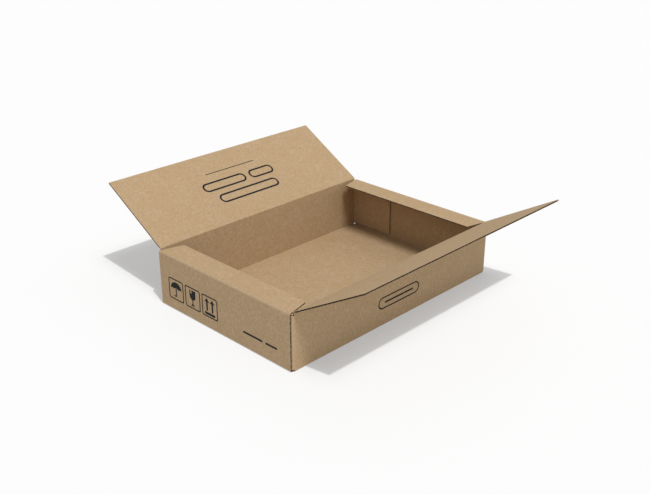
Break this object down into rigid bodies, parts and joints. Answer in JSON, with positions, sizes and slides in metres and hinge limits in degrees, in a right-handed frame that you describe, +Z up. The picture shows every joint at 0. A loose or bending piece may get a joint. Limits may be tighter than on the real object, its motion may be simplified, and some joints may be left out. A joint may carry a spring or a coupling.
{
  "type": "one-piece folder box",
  "caption": "Shallow folder box of kraft fluted board, folded from one blank, with two long lid flaps, tapered dust flaps and corner tabs.",
  "frame": {"origin": "middle of the underside of the box", "axes": "+X along the long walls, +Y from the front wall to the back wall, +Z up"},
  "size_m": [0.3, 0.3706, 0.1121],
  "materials": {
    "kraft_board": "matte brown kraft paper, both faces, with open flutes along the cut edges"
  },
  "bodies": {
    "tray": {"tray": "kraft_board"},
    "front_flap": {"front_flap": "kraft_board"},
    "back_flap": {"back_flap": "kraft_board"}
  },
  "joints": [
    {"name": "front_flap_hinge", "type": "hinge", "parent": "tray", "child": "front_flap", "pos_m": [0, -0.09925, 0.06195], "axis": [-1, 0, 0], "range_deg": [-65, 150]},
    {"name": "back_flap_hinge", "type": "hinge", "parent": "tray", "child": "back_flap", "pos_m": [0, 0.09925, 0.06195], "axis": [1, 0, 0], "range_deg": [-65, 150]}
  ]
}
